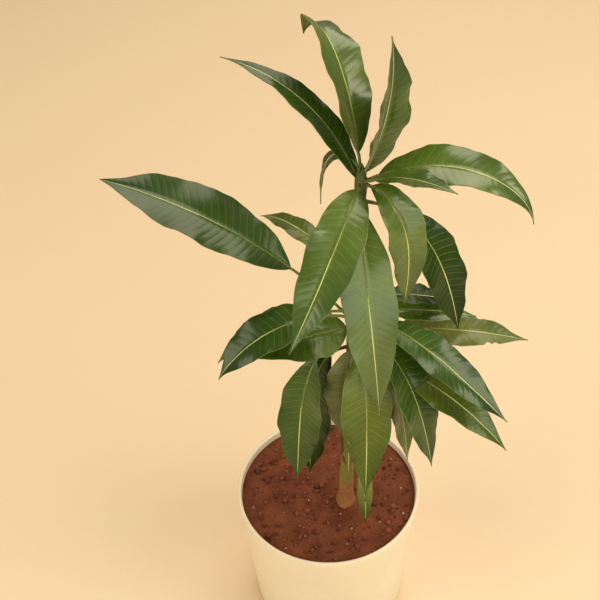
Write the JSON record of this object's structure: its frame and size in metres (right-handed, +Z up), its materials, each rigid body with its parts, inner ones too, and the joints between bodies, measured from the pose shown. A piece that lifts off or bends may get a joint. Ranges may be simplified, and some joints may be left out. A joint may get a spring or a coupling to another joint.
{
  "type": "potted mango tree sapling",
  "caption": "Mango tree sapling in a round cream pot: a slim leaning stem, long glossy leaves in a crown and a lower whorl, and bare red-brown soil.",
  "frame": {"origin": "centre of the pot's flat underside", "axes": "+Z up, +X to the right of the pot's front, +Y to the back of the pot; the picture looks along +Y and down"},
  "size_m": [0.4107, 0.2591, 0.793],
  "materials": {
    "pot": "satin",
    "soil": "rough",
    "bark": "rough",
    "leaf": "glossy"
  },
  "bodies": {
    "root": {"pot": "pot", "soil": "soil", "trunk": "bark", "foliage_crown": "leaf", "foliage_lower_left": "leaf", "foliage_lower_front": "leaf", "foliage_lower_right": "leaf", "foliage_lower_back": "leaf"}
  },
  "joints": []
}
